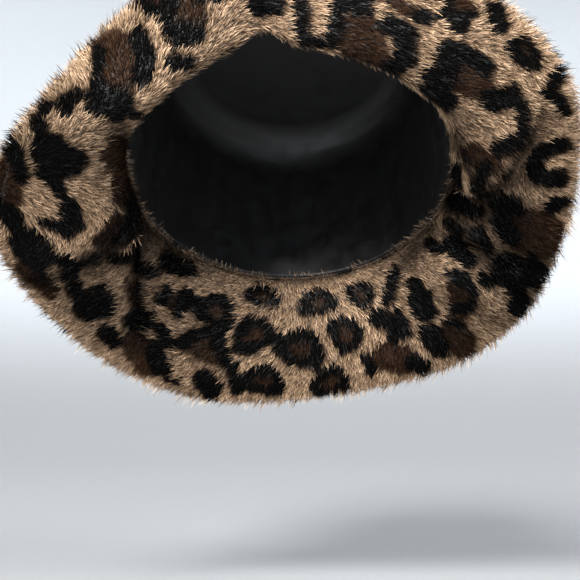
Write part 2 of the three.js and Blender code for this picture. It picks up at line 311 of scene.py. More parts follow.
facing_spots = [
    dict(ink="brown", start=(112, 50), end=(119, 74), wide=36),
    dict(ink="black", start=(138, 33), end=(147, 50), wide=17),
    dict(ink="black", start=(147, 50), end=(143, 74), wide=17),
    dict(ink="black", start=(99, 46), end=(93, 80), wide=10),
    dict(ink="black", start=(103, 97), end=(118, 103), wide=29),
    dict(ink="brown", start=(188, 0), end=(188, 18), wide=30),
    dict(ink="black", start=(168, 2), end=(170, 24), wide=12),
    dict(ink="black", start=(178, 30), end=(195, 31), wide=21),
    dict(ink="black", start=(176, 58), end=(190, 61), wide=16),
    dict(ink="black", start=(263, 2), end=(277, 5), wide=21),
    dict(ink="black", start=(76, 92), end=(66, 108), wide=12),
    dict(ink="brown", start=(60, 104), end=(38, 103), wide=11),
    dict(ink="black", start=(35, 120), end=(41, 128), wide=13),
    dict(ink="black", start=(40, 107), end=(70, 96), wide=11),
    dict(ink="black", start=(132, 112), end=(143, 116), wide=9),
    dict(ink="brown", start=(22, 268), end=(48, 292), wide=14),
    dict(ink="black", start=(52, 151), end=(58, 168), wide=31),
    dict(ink="black", start=(60, 166), end=(78, 162), wide=21),
    dict(ink="black", start=(60, 180), end=(64, 194), wide=12),
    dict(ink="black", start=(5, 144), end=(17, 156), wide=15),
    dict(ink="black", start=(17, 156), end=(25, 178), wide=13),
    dict(ink="brown", start=(5, 172), end=(8, 200), wide=26),
    dict(ink="black", start=(72, 211), end=(76, 227), wide=17),
    dict(ink="black", start=(60, 231), end=(70, 237), wide=11),
    dict(ink="black", start=(44, 227), end=(56, 230), wide=9),
    dict(ink="black", start=(23, 246), end=(37, 257), wide=25),
    dict(ink="black", start=(2, 212), end=(14, 224), wide=17),
    # a small brown mark at the opening's edge, partly print and partly painted shade
    dict(ink="brown", start=(111, 157), end=(116, 165), wide=13),
    dict(ink="black", start=(306, 0), end=(306, 40), wide=14),
    dict(ink="black", start=(342, 6), end=(338, 38), wide=14),
    dict(ink="black", start=(309, 43), end=(334, 42), wide=13),
    dict(ink="black", start=(350, 3), end=(372, 10), wide=13),
    dict(ink="brown", start=(364, 38), end=(370, 58), wide=36),
    dict(ink="brown", start=(352, 60), end=(384, 76), wide=12),
    dict(ink="black", start=(393, 25), end=(411, 35), wide=17),
    dict(ink="black", start=(411, 35), end=(410, 60), wide=19),
    dict(ink="black", start=(410, 60), end=(390, 76), wide=16),
    dict(ink="brown", start=(397, 0), end=(414, 11), wide=13),
    dict(ink="black", start=(423, 14), end=(432, 20), wide=13),
    dict(ink="brown", start=(462, 5), end=(471, 12), wide=17),
    dict(ink="black", start=(452, 14), end=(467, 27), wide=14),
    dict(ink="black", start=(467, 27), end=(476, 14), wide=11),
    dict(ink="brown", start=(468, 81), end=(485, 88), wide=24),
    dict(ink="black", start=(456, 56), end=(440, 90), wide=24),
    dict(ink="black", start=(462, 54), end=(478, 59), wide=14),
    dict(ink="black", start=(478, 59), end=(492, 68), wide=14),
    dict(ink="black", start=(496, 103), end=(514, 98), wide=20),
    dict(ink="brown", start=(526, 53), end=(531, 58), wide=16),
    dict(ink="black", start=(514, 45), end=(524, 63), wide=10),
    dict(ink="black", start=(524, 64), end=(539, 69), wide=9),
    dict(ink="black", start=(541, 60), end=(534, 45), wide=9),
    dict(ink="black", start=(516, 43), end=(529, 40), wide=9),
    dict(ink="black", start=(498, 8), end=(506, 26), wide=14),
    dict(ink="black", start=(563, 73), end=(552, 94), wide=12),
    dict(ink="black", start=(552, 94), end=(569, 110), wide=12),
    dict(ink="black", start=(526, 112), end=(526, 136), wide=12),
    dict(ink="black", start=(503, 153), end=(517, 147), wide=16),
    dict(ink="black", start=(543, 157), end=(567, 146), wide=13),
    dict(ink="black", start=(538, 162), end=(536, 177), wide=14),
    dict(ink="black", start=(540, 181), end=(564, 180), wide=15),
    dict(ink="black", start=(552, 212), end=(567, 203), wide=12),
    dict(ink="brown", start=(526, 232), end=(549, 240), wide=34),
    dict(ink="black", start=(452, 174), end=(454, 204), wide=15),
    dict(ink="black", start=(458, 207), end=(477, 215), wide=12),
    dict(ink="black", start=(477, 190), end=(488, 170), wide=12),
    dict(ink="black", start=(499, 206), end=(519, 212), wide=15),
    dict(ink="black", start=(499, 225), end=(515, 239), wide=15),
    dict(ink="black", start=(509, 270), end=(537, 277), wide=24),
    dict(ink="black", start=(533, 263), end=(541, 286), wide=13),
    dict(ink="black", start=(446, 224), end=(462, 236), wide=9),
    dict(ink="black", start=(452, 244), end=(472, 264), wide=13),
    dict(ink="black", start=(476, 234), end=(491, 251), wide=10),
    dict(ink="black", start=(428, 243), end=(440, 250), wide=9),
    dict(ink="brown", start=(420, 300), end=(426, 314), wide=16),
    dict(ink="black", start=(414, 285), end=(425, 297), wide=12),
    dict(ink="black", start=(425, 297), end=(432, 315), wide=13),
    dict(ink="black", start=(415, 300), end=(422, 319), wide=9),
    dict(ink="brown", start=(462, 293), end=(466, 308), wide=20),
    dict(ink="black", start=(455, 277), end=(468, 285), wide=13),
    dict(ink="black", start=(456, 313), end=(471, 311), wide=9),
    dict(ink="black", start=(476, 294), end=(474, 308), wide=9),
    dict(ink="black", start=(490, 282), end=(521, 276), wide=15),
    dict(ink="black", start=(514, 290), end=(525, 303), wide=13),
    dict(ink="black", start=(514, 308), end=(523, 313), wide=10),
    dict(ink="black", start=(434, 94), end=(452, 104), wide=16),
    dict(ink="black", start=(431, 337), end=(440, 351), wide=18),
    dict(ink="brown", start=(456, 331), end=(464, 346), wide=22),
    dict(ink="black", start=(449, 326), end=(462, 327), wide=8),
    dict(ink="brown", start=(386, 360), end=(404, 364), wide=22),
    dict(ink="black", start=(366, 362), end=(370, 373), wide=11),
    dict(ink="black", start=(411, 366), end=(425, 371), wide=12),
    dict(ink="black", start=(381, 322), end=(401, 328), wide=18),
    dict(ink="black", start=(399, 317), end=(405, 331), wide=10),
    dict(ink="black", start=(391, 343), end=(409, 337), wide=9),
    dict(ink="black", start=(396, 272), end=(390, 302), wide=11),
    dict(ink="brown", start=(88, 300), end=(96, 306), wide=18),
    dict(ink="black", start=(97, 293), end=(105, 301), wide=12),
    dict(ink="black", start=(83, 311), end=(101, 308), wide=20),
    dict(ink="black", start=(67, 281), end=(76, 298), wide=14),
    dict(ink="black", start=(103, 337), end=(113, 343), wide=14),
    dict(ink="brown", start=(134, 348), end=(147, 364), wide=21),
    dict(ink="black", start=(150, 353), end=(159, 370), wide=15),
    dict(ink="black", start=(129, 325), end=(143, 320), wide=14),
    dict(ink="brown", start=(196, 346), end=(213, 354), wide=22),
    dict(ink="black", start=(178, 347), end=(192, 336), wide=12),
    dict(ink="black", start=(192, 335), end=(207, 334), wide=11),
    dict(ink="black", start=(214, 340), end=(221, 363), wide=13),
    dict(ink="brown", start=(167, 302), end=(178, 306), wide=13),
    dict(ink="black", start=(157, 301), end=(166, 292), wide=11),
    dict(ink="black", start=(177, 311), end=(185, 295), wide=13),
    dict(ink="black", start=(184, 293), end=(193, 303), wide=10),
    dict(ink="black", start=(157, 329), end=(165, 345), wide=12),
    dict(ink="black", start=(201, 381), end=(211, 393), wide=16),
    dict(ink="black", start=(228, 370), end=(236, 392), wide=11),
    dict(ink="black", start=(168, 262), end=(186, 268), wide=16),
    dict(ink="black", start=(139, 270), end=(151, 273), wide=11),
    dict(ink="black", start=(166, 382), end=(175, 384), wide=7),
    dict(ink="black", start=(111, 262), end=(125, 262), wide=10),
    dict(ink="black", start=(55, 262), end=(75, 268), wide=10),
]

# Broad brown strokes in the folds: partly the print's own brown and partly painted shade

fold_browns_and_painted_shade = [
    dict(ink="brown", start=(122, 146), end=(128, 200), wide=17),
    dict(ink="brown", start=(118, 222), end=(96, 246), wide=9),
    dict(ink="brown", start=(472, 158), end=(494, 168), wide=17),
    dict(ink="brown", start=(128, 285), end=(137, 318), wide=8),
]

# Painted shade in creases and on the lower facing, as light taken off; below 0 a painted highlight
# at a pale fold

facing_painted_shade_and_highlights = [
    dict(start=(134, 206), end=(119, 234), wide=22, painted_shade=0.97),
    dict(start=(119, 234), end=(98, 256), wide=20, painted_shade=0.97),
    dict(start=(98, 256), end=(72, 268), wide=15, painted_shade=0.95),
    dict(start=(72, 268), end=(46, 273), wide=12, painted_shade=0.85),
    dict(start=(46, 273), end=(20, 285), wide=9, painted_shade=0.6),
    dict(start=(130, 212), end=(138, 250), wide=22, painted_shade=0.97),
    dict(start=(138, 250), end=(142, 292), wide=17, painted_shade=0.96),
    dict(start=(142, 292), end=(147, 330), wide=13, painted_shade=0.9),
    dict(start=(127, 250), end=(131, 282), wide=6, painted_shade=-0.4),
    dict(start=(131, 282), end=(132, 312), wide=6, painted_shade=-0.35),
    dict(start=(112, 128), end=(126, 152), wide=22, painted_shade=0.75),
    dict(start=(126, 152), end=(130, 196), wide=16, painted_shade=0.8),
    dict(start=(142, 218), end=(176, 250), wide=26, painted_shade=0.85),
    dict(start=(176, 250), end=(212, 262), wide=16, painted_shade=0.6),
    dict(start=(538, 110), end=(525, 140), wide=9, painted_shade=0.85),
    dict(start=(525, 140), end=(505, 172), wide=12, painted_shade=0.93),
    dict(start=(505, 172), end=(486, 190), wide=14, painted_shade=0.95),
    dict(start=(532, 116), end=(527, 134), wide=6, painted_shade=-0.4),
    dict(start=(522, 154), end=(508, 178), wide=7, painted_shade=-0.35),
    dict(start=(484, 188), end=(466, 160), wide=10, painted_shade=0.85),
    dict(start=(466, 160), end=(455, 128), wide=8, painted_shade=0.8),
    dict(start=(484, 190), end=(480, 210), wide=15, painted_shade=0.8),
    dict(start=(450, 172), end=(454, 205), wide=14, painted_shade=0.92),
    dict(start=(454, 205), end=(470, 238), wide=13, painted_shade=0.9),
    dict(start=(470, 238), end=(506, 272), wide=13, painted_shade=0.88),
    dict(start=(447, 172), end=(438, 188), wide=6, painted_shade=-0.4),
    dict(start=(438, 188), end=(438, 216), wide=6, painted_shade=-0.35),
    dict(start=(438, 216), end=(450, 240), wide=6, painted_shade=-0.3),
    dict(start=(506, 272), end=(524, 296), wide=17, painted_shade=0.75),
    dict(start=(482, 214), end=(516, 266), wide=40, painted_shade=0.6),
    dict(start=(434, 222), end=(404, 262), wide=18, painted_shade=0.8),
    dict(start=(484, 300), end=(440, 356), wide=50, painted_shade=0.38),
    dict(start=(100, 300), end=(150, 350), wide=60, painted_shade=0.08),
    dict(start=(180, 330), end=(215, 372), wide=50, painted_shade=0.25),
]

# Rosettes where the photograph doesn't show the facing

facing_rosettes = [
    dict(centre=(152, -14), wide=30, tall=22, turned=30),
    dict(centre=(222, -34), wide=34, tall=26, turned=-20),
    dict(centre=(262, -58), wide=26, tall=18, turned=10),
    dict(centre=(328, -36), wide=34, tall=24, turned=15),
    dict(centre=(382, -30), wide=26, tall=22, turned=60),
    dict(centre=(440, -22), wide=28, tall=18, turned=20),
    dict(centre=(213, 312), wide=20, tall=15, turned=30),
    dict(centre=(252, 338), wide=22, tall=16, turned=-25),
    dict(centre=(262, 296), wide=17, tall=10, turned=10),
    dict(centre=(300, 352), wide=24, tall=17, turned=15),
    dict(centre=(318, 304), wide=20, tall=11, turned=-8),
    dict(centre=(346, 338), wide=18, tall=15, turned=60),
    dict(centre=(262, 384), wide=20, tall=12, turned=8),
    dict(centre=(330, 385), wide=20, tall=11, turned=-12),
    dict(centre=(362, 296), wide=14, tall=12, turned=40),
]


def rosette(centre, wide, tall, turned, gap=0.0):
    """A brown centre within a broken ring of black strokes."""
    turn = math.radians(turned)

    def at(degrees, share):
        x = wide * share * math.cos(math.radians(degrees))
        y = tall * share * math.sin(math.radians(degrees))
        return (
            centre[0] + x * math.cos(turn) - y * math.sin(turn),
            centre[1] + x * math.sin(turn) + y * math.cos(turn),
        )

    stroke = 0.3 * (wide + tall)
    strokes = [dict(ink="brown", start=at(180, 0.35), end=at(0, 0.35), wide=1.15 * tall)]
    for first, last in ((10 + gap, 75 + gap), (115 + gap, 200 + gap), (235 + gap, 320 + gap)):
        middle = (first + last) / 2
        bend = at(middle, 0.95)
        strokes.append(dict(ink="black", start=at(first, 0.8), end=bend, wide=stroke))
        strokes.append(dict(ink="black", start=bend, end=at(last, 0.8), wide=0.85 * stroke))
    return strokes


def scattered_spots(length, height, spacing, seed):
    """Rosettes in loose rows with small spots between them, over a strip that meets itself."""
    dice = np.random.default_rng(seed)
    columns = max(3, round(length / spacing))
    rows = max(1, round(height / (0.85 * spacing)))
    spots = []
    for row in range(-1, rows + 1):
        for column in range(columns):
            x = (column + 0.5 * (row % 2) + dice.uniform(-0.18, 0.18)) * length / columns
            y = (row + 0.5 + dice.uniform(-0.16, 0.16)) * height / rows
            wide = spacing * dice.uniform(0.24, 0.34)
            tall = wide * dice.uniform(0.65, 0.95)
            spots += rosette((x, y), wide, tall, dice.uniform(0, 180), dice.uniform(0, 120))
            x = x + 0.5 * length / columns
            y = y + dice.uniform(-0.12, 0.12) * height / rows
            reach = spacing * dice.uniform(0.03, 0.11)
            lean = dice.uniform(0, math.pi)
            end = (x + reach * math.cos(lean), y + reach * math.sin(lean))
            spot_wide = spacing * dice.uniform(0.14, 0.22)
            spots.append(dict(ink="black", start=(x, y), end=end, wide=spot_wide))
    return spots


def off_stroke(x, y, stroke):
    """How far places, given from a stroke's start, are from the stroke, in its widths."""
    run = stroke["end"][0] - stroke["start"][0]
    drop = stroke["end"][1] - stroke["start"][1]
    t = np.clip((x * run + y * drop) / (run * run + drop * drop + 1e-12), 0, 1)
    return np.hypot(x - t * run, y - t * drop) / stroke["wide"]


crease_narrowing = 1.5


def painted_shade_amounts(across, down):
    """The painted shade on the facing, as the share of the pile's light taken off; below 0 a
    painted highlight.
    """
    light = np.ones(len(across))
    for crease in facing_painted_shade_and_highlights:
        away = off_stroke(across - crease["start"][0], down - crease["start"][1], crease)
        light = light * (1 - crease["painted_shade"] * np.exp(-((away * crease_narrowing) ** 2)))
    return 1 - light


stroke_core = 0.46  # full ink up to here, in widths of a stroke from its line
stroke_reach = 0.9  # and none past here
wander_spacing = 2.2  # size of the wanderings of its edge, in their depths
wander_level = 3.7
wander_seed = 5
noise.seed_set(wander_seed)


def print_inks(across, down, spots, wander, period=None):
    """How much black and how much brown lies at each place, with the strokes' edges wandering."""
    size = wander * wander_spacing
    moved = np.array([
        noise.noise_vector(Vector((x, y, wander_level))) for x, y in zip(across / size, down / size)
    ])
    across = across + moved[:, 0] * wander
    down = down + moved[:, 1] * wander
    inks = dict(black=np.zeros(len(across)), brown=np.zeros(len(across)))
    for spot in sorted(spots, key=lambda each: each["ink"] == "black"):
        x = across - spot["start"][0]
        if period:
            x = np.mod(x + period / 2, period) - period / 2
        y = down - spot["start"][1]
        cover = 1 - smooth_step(off_stroke(x, y, spot), stroke_core, stroke_reach)
        inks[spot["ink"]] = np.maximum(inks[spot["ink"]], cover)
    return inks["black"], inks["brown"]


# How the pile lies on the facing: at each place of the photograph, the way its tips point, in
# degrees from rightwards, growing downwards.

facing_combing = [
    dict(across=110, down=30, tips=-100),
    dict(across=80, down=62, tips=-140),
    dict(across=150, down=40, tips=-65),
    dict(across=200, down=20, tips=-75),
    dict(across=225, down=45, tips=-30),
    dict(across=265, down=30, tips=20),
    dict(across=68, down=126, tips=-52),
    dict(across=30, down=100, tips=-80),
    dict(across=8, down=140, tips=-80),
    dict(across=-5, down=172, tips=-45),
    dict(across=116, down=130, tips=-35),
    dict(across=112, down=170, tips=5),
    dict(across=60, down=165, tips=-10),
    dict(across=32, down=190, tips=30),
    dict(across=60, down=205, tips=45),
    dict(across=95, down=205, tips=50),
    dict(across=15, down=220, tips=100),
    dict(across=100, down=240, tips=130),
    dict(across=30, down=250, tips=140),
    dict(across=100, down=280, tips=172),
    dict(across=70, down=310, tips=145),
    dict(across=140, down=300, tips=165),
    dict(across=180, down=320, tips=200),
    dict(across=130, down=365, tips=135),
    dict(across=190, down=375, tips=150),
    dict(across=225, down=390, tips=120),
    dict(across=310, down=20, tips=5),
    dict(across=367, down=45, tips=20),
    dict(across=330, down=-40, tips=-60),
    dict(across=425, down=48, tips=14),
    dict(across=406, down=85, tips=8),
    dict(across=483, down=85, tips=6),
    dict(across=474, down=122, tips=55),
    dict(across=500, down=135, tips=35),
    dict(across=532, down=58, tips=45),
    dict(across=500, down=15, tips=-15),
    dict(across=566, down=97, tips=15),
    dict(across=556, down=165, tips=10),
    dict(across=541, down=222, tips=45),
    dict(across=515, down=180, tips=70),
    dict(across=450, down=184, tips=100),
    dict(across=464, down=219, tips=50),
    dict(across=436, down=262, tips=3),
    dict(across=420, down=292, tips=10),
    dict(across=484, down=316, tips=40),
    dict(across=500, down=284, tips=45),
    dict(across=543, down=282, tips=25),
    dict(across=444, down=361, tips=72),
    dict(across=393, down=361, tips=105),
]
comb_blend = 14  # how closely the combing keeps to its controls, in pixels
comb_power = 1.6


def combed(across, down, controls):
    """The combing at each place, blended from the nearest controls, and short where they part."""
    total, shares = np.zeros((len(across), 2)), np.zeros(len(across))
    for control in controls:
        far = (across - control["across"]) ** 2 + (down - control["down"]) ** 2
        weight = 1 / (far + comb_blend**2) ** comb_power
        tips = math.radians(control["tips"])
        total += weight[:, None] * np.array([math.cos(tips), math.sin(tips)])
        shares += weight
    return total / shares[:, None]


def brim_layer_mesh(name, layer, height, columns, rows):
    """One layer of the brim's cloth, closed: its face, then its back."""
    angles = np.arange(columns) * full_turn / columns
    along = 1 - (1 - np.linspace(0, 1, rows)) ** row_crowding
    along_back = along[:: -(rows // back_rows)]
    face = brim_skin(angles, along, layer, height)
    rings = np.concatenate([face, brim_skin(angles, along_back, layer, 0)])
    shares = np.concatenate([along, along_back])
    on_face = np.concatenate([[seam_cover], np.ones(rows - 1), np.zeros(len(along_back))])
    if layer < 0:
        rings, shares, on_face = rings[::-1], shares[::-1], on_face[::-1]
    mesh = ring_mesh(name, rings)
    all_angles = np.tile(angles, len(rings))
    return mesh, all_angles, np.repeat(shares, columns), np.repeat(on_face, columns)


def edge_ways(angles):
    """The way in which the cloth leaves the brim at its free edge."""
    turn = np.radians(brim_share("turn", angles))[:, None]
    return leaned(outwards(angles) * np.cos(turn) + straight_up * np.sin(turn))


def laid(comb, normals):
    """The combing as it lies on the cloth."""
    return unit(comb - normals * (comb * normals).sum(axis=-1, keepdims=True))


backing_along = 0.25  # the cloth takes its colour, and the roots' painted shade, as low on a hair as this
backing_tone = 0.4


def chart_pile(mesh, black, brown, comb, cover, grown):
    """What the pile reads from its backing: its inks, its combing, how dense and how long it is."""
    add_values(mesh, "black", black)
    add_values(mesh, "brown", brown)
    add_values(mesh, "comb", comb, "FLOAT_VECTOR")
    add_values(mesh, "cover", cover)
    add_values(mesh, "grown", grown)
    add_values(mesh, "along", np.full(len(black), backing_along))
    add_values(mesh, "tone", np.full(len(black), backing_tone))


facing_mesh, facing_angle, facing_along, facing_shown = brim_layer_mesh(
    "brim_facing", 1, facing_height, facing_columns, facing_rows
)
facing_points = point_places(facing_mesh)
facing_normals = point_normals(facing_mesh)
to_camera = unit(np.array([0, camera_depth, camera_height]) - facing_points)
faces_camera = (facing_normals * to_camera).sum(axis=-1)
turned_to_camera = smooth_step(faces_camera, -0.15, 0.1)
seen_across, seen_down = photo_place(facing_points)
seen_comb = combed(seen_across, seen_down, facing_combing)
parted = 1 - smooth_step(np.linalg.norm(seen_comb, axis=-1), 0.05, 0.75)
seen_comb = unit(seen_comb)
comb = np.stack([seen_comb[:, 0], 0 * seen_comb[:, 0], -seen_comb[:, 1]], axis=-1)
rim_way = edge_ways(facing_angle)
plain_comb = unit(rim_way + 0.5 * leaned(along_ring(facing_angle)))
comb = comb * turned_to_camera[:, None] + plain_comb * (1 - turned_to_camera[:, None])

# At the free edge the pile is brushed over it, and at the seam and the opening inwards, where its
# tufts stand up. It is combed little where the strokes of the brush part.

at_rim = smooth_step(facing_along, 0.8, 1)
over_rim = 0.85 * smooth_step(facing_along, 0.92, 1)[:, None]
comb = comb * (1 - over_rim) + rim_way * over_rim
at_seam = 1 - smooth_step(facing_along, 0.0, 0.07)
at_opening = (1 - smooth_step(faces_camera, 0.05, 0.45)) * (facing_along < 0.32)
inwards_here = np.maximum(0.75 * at_seam, 0.4 * at_opening)[:, None]
comb = comb * (1 - inwards_here) - leaned(outwards(facing_angle)) * inwards_here
comb = laid(comb, facing_normals)
comb *= 1 - 0.9 * (parted * turned_to_camera)[:, None] * (1 - over_rim)

# The ink is printed on the hairs, so a root takes the ink of the place where its tip lies. What
# the photograph doesn't show is printed with rosettes in loose rows.

tip_shift = 0.0045
tip_rise = 0.002
tips = facing_points + comb * tip_shift + facing_normals * tip_rise
charted_wander = 3.2  # in pixels
scattered_wander = 0.0018  # in metres
rosette_strokes = [stroke for each in facing_rosettes for stroke in rosette(**each)]
facing_marks = facing_spots + fold_browns_and_painted_shade + rosette_strokes
black, brown = print_inks(*photo_place(tips), facing_marks, charted_wander)
brim_round = math.pi * (ring_half_width + ring_half_depth) * 1.25
turned_width = brim_width * 1.2
rosette_spacing = 0.036
turned_spots = scattered_spots(brim_round, turned_width, rosette_spacing, 11)
turned_black, turned_brown = print_inks(
    facing_angle / full_turn * brim_round, facing_along * turned_width, turned_spots,
    scattered_wander, brim_round,
)
chart_pile(
    facing_mesh,
    black=black * turned_to_camera + turned_black * (1 - turned_to_camera),
    brown=brown * turned_to_camera + turned_brown * (1 - turned_to_camera),
    comb=comb,
    cover=facing_shown * (0.75 + 0.7 * at_rim + 0.6 * at_seam),
    grown=0.85 + 0.1 * at_rim,
)
# painted shade in the creases and over the lower facing, and painted highlights on pale fold edges
add_values(facing_mesh, "painted_shade", painted_shade_amounts(seen_across, seen_down) * turned_to_camera)
add_values(facing_mesh, "stand", 0.85 * at_opening)


def fill(tree, socket, value):
    if isinstance(value, bpy.types.NodeSocket):
        tree.links.new(value, socket)
    else:
        socket.default_value = value


def shown(sockets, name):
    return next(socket for socket in sockets if socket.enabled and socket.name == name)


def add_node(tree, kind, settings=None, inputs=None):
    """A node with these settings, and with inputs given by their names or their places."""
    node = tree.nodes.new(kind)
    for name, value in (settings or {}).items():
        setattr(node, name, value)
    for name, value in (inputs or {}).items():
        named = isinstance(name, str)
        fill(tree, shown(node.inputs, name) if named else node.inputs[name], value)
    return node


def maths(tree, operation, *values):
    settings = dict(operation=operation)
    return add_node(tree, "ShaderNodeMath", settings, dict(enumerate(values))).outputs[0]


def mixed(tree, share, first, second, blend_type="MIX"):
    settings = dict(data_type="RGBA", blend_type=blend_type)
    node = add_node(tree, "ShaderNodeMix", settings, dict(Factor=share, A=first, B=second))
    return shown(node.outputs, "Result")


def ranged(tree, value, low, high, to_low=0.0, to_high=1.0):
    settings = dict(interpolation_type="SMOOTHSTEP")
    inputs = dict(enumerate((value, low, high, to_low, to_high)))
    return add_node(tree, "ShaderNodeMapRange", settings, inputs).outputs[0]


def object_place(tree):
    return tree.nodes.new("ShaderNodeTexCoord").outputs["Object"]


def add_sockets(tree, in_out, kind, values):
    """Named inputs or outputs of a group, with their usual values."""
    for name, value in values.items():
        socket = tree.interface.new_socket(name, in_out=in_out, socket_type="NodeSocket" + kind)
        if value is not None:
            socket.default_value = value


def leopard_print_group():
    """Colour and roughness of a printed hair, or of the cloth that it stands on."""
    tree = bpy.data.node_groups.new("Leopard print", "ShaderNodeTree")
    colours = {
        "Tan": (0.36, 0.235, 0.15, 1),
        "Pale tip": (0.62, 0.47, 0.34, 1),
        "Brown": (0.06, 0.032, 0.018, 1),
        "Black": (0.0028, 0.0026, 0.0026, 1),
    }
    add_sockets(tree, "INPUT", "Color", colours)
    add_sockets(tree, "INPUT", "Float", {"Root shade": 0.25, "Edge": 0.16})
    add_sockets(tree, "OUTPUT", "Color", {"Color": None})
    add_sockets(tree, "OUTPUT", "Float", {"Roughness": None})
    given = tree.nodes.new("NodeGroupInput").outputs
    result = tree.nodes.new("NodeGroupOutput").inputs
    tone_shift = 0.3  # how far the edge of a mark moves from one lock to the next
    pale_in_brown, pale_in_black = 0.12, 0.006
    patch_size, patch_shades = 45.0, (0.78, 1.08)
    tone_shades = (0.42, 1.45)
    tan_roughness, black_roughness = 0.66, 0.5

    def value_of(name):
        return add_node(tree, "ShaderNodeAttribute", dict(attribute_name=name)).outputs["Fac"]

    def times(first, second):
        return maths(tree, "MULTIPLY", first, second)

    along, tone = value_of("along"), value_of("tone")
    low = maths(tree, "SUBTRACT", 0.5, given["Edge"])
    high = maths(tree, "ADD", 0.5, given["Edge"])
    shift = times(maths(tree, "SUBTRACT", tone, 0.5), tone_shift)
    is_black = ranged(tree, maths(tree, "ADD", value_of("black"), shift), low, high)
    is_brown = ranged(tree, maths(tree, "ADD", value_of("brown"), shift), low, high)
    pale = times(ranged(tree, along, 0.3, 1.0), ranged(tree, tone, 0.25, 1.0, 0.15, 1.0))
    tan = mixed(tree, pale, given["Tan"], given["Pale tip"])
    brown_here = mixed(tree, times(pale, pale_in_brown), given["Brown"], given["Tan"])
    black_here = mixed(tree, times(pale, pale_in_black), given["Black"], given["Pale tip"])
    printed = mixed(tree, is_black, mixed(tree, is_brown, tan, brown_here), black_here)
    patch_inputs = dict(Vector=object_place(tree), Scale=patch_size, Detail=3.0)
    patches = add_node(tree, "ShaderNodeTexNoise", None, patch_inputs).outputs["Fac"]
    # hairs darken towards their roots: partly the fur's darker base and partly painted shade
    # between the hairs
    shade = ranged(tree, along, 0.0, 0.95, given["Root shade"], 1.0)
    shade = times(shade, ranged(tree, patches, 0.3, 0.7, *patch_shades))
    # painted shade takes colour off the hairs, and a painted highlight, below 0, adds it
    shade = times(shade, maths(tree, "SUBTRACT", 1.0, value_of("painted_shade")))
    shade = times(shade, ranged(tree, tone, 0.05, 0.95, *tone_shades))
    grey_inputs = dict(Red=shade, Green=shade, Blue=shade)
    grey = add_node(tree, "ShaderNodeCombineColor", None, grey_inputs).outputs[0]
    fill(tree, result["Color"], mixed(tree, 1.0, printed, grey, "MULTIPLY"))
    roughness = ranged(tree, is_black, 0.0, 1.0, tan_roughness, black_roughness)
    fill(tree, result["Roughness"], roughness)
    return tree


leopard_print = leopard_print_group()


def printed_material(name, **print_values):
    """A material whose colour and roughness are the print's."""
    material = bpy.data.materials.new(name)
    material.use_nodes = True
    tree = material.node_tree
    shader = tree.nodes["Principled BSDF"]
    inputs = {key.replace("_", " "): value for key, value in print_values.items()}
    print_here = add_node(tree, "ShaderNodeGroup", dict(node_tree=leopard_print), inputs)
    fill(tree, shader.inputs["Base Color"], print_here.outputs["Color"])
    fill(tree, shader.inputs["Roughness"], print_here.outputs["Roughness"])
    return material, tree, shader


def backing_material(name):
    """Knitted backing between the roots of the pile, in the print's colours, darkened with painted
    shade between the roots.
    """
    material, tree, shader = printed_material(name, Tan=(0.3, 0.19, 0.12, 1), Root_shade=0.45)
    shader.inputs["Sheen Weight"].default_value = 0.03
    place = object_place(tree)
    knit = add_node(tree, "ShaderNodeTexVoronoi", None, dict(Vector=place, Scale=900.0))
    tuft_inputs = dict(Vector=place, Scale=260.0, Detail=4.0)
    tufts = add_node(tree, "ShaderNodeTexNoise", None, tuft_inputs)
    height = maths(tree, "ADD", knit.outputs["Distance"], tufts.outputs["Fac"])
    bump = add_node(tree, "ShaderNodeBump", None, dict(Strength=0.5, Distance=0.001, Height=height))
    fill(tree, shader.inputs["Normal"], bump.outputs["Normal"])
    return material


facing_mesh.materials.append(backing_material("brim facing backing"))
brim_facing = place_piece("brim_facing_backing", facing_mesh)
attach(brim_facing, "root")
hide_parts("brim_under")


# The pile of the brim's facing
# Soft printed faux fur: a dense pile of about 5 mm that is brushed into small locks, with longer
# guard hairs over it. It is knitted into the facing's backing and frays out at the free edge.

def vector_maths(tree, operation, *values):
    """A sum on vectors. Scaling by a number and a result that is one have sockets of their own."""
    node = add_node(tree, "ShaderNodeVectorMath", dict(operation=operation))
    for index, value in enumerate(values):
        socket = node.inputs["Scale"] if operation == "SCALE" and index == 1 else node.inputs[index]
        fill(tree, socket, value)
    return node.outputs["Value"] if operation in ("DOT_PRODUCT", "LENGTH") else node.outputs[0]


def one_hair():
    """A single tapered hair, a unit long and wide, along Z."""
    mesh = bpy.data.meshes.new("one_hair")
    points = [(-0.5, 0, 0), (0.5, 0, 0), (-0.42, 0, 0.5), (0.42, 0, 0.5), (0, 0, 1)]
    mesh.from_pydata(points, [], [(0, 1, 3, 2), (2, 3, 4)])
    add_values(mesh, "along", np.array([point[2] for point in points]))
    add_values(mesh, "side", np.array([point[0] for point in points]))
    return bpy.data.objects.new("one_hair", mesh)


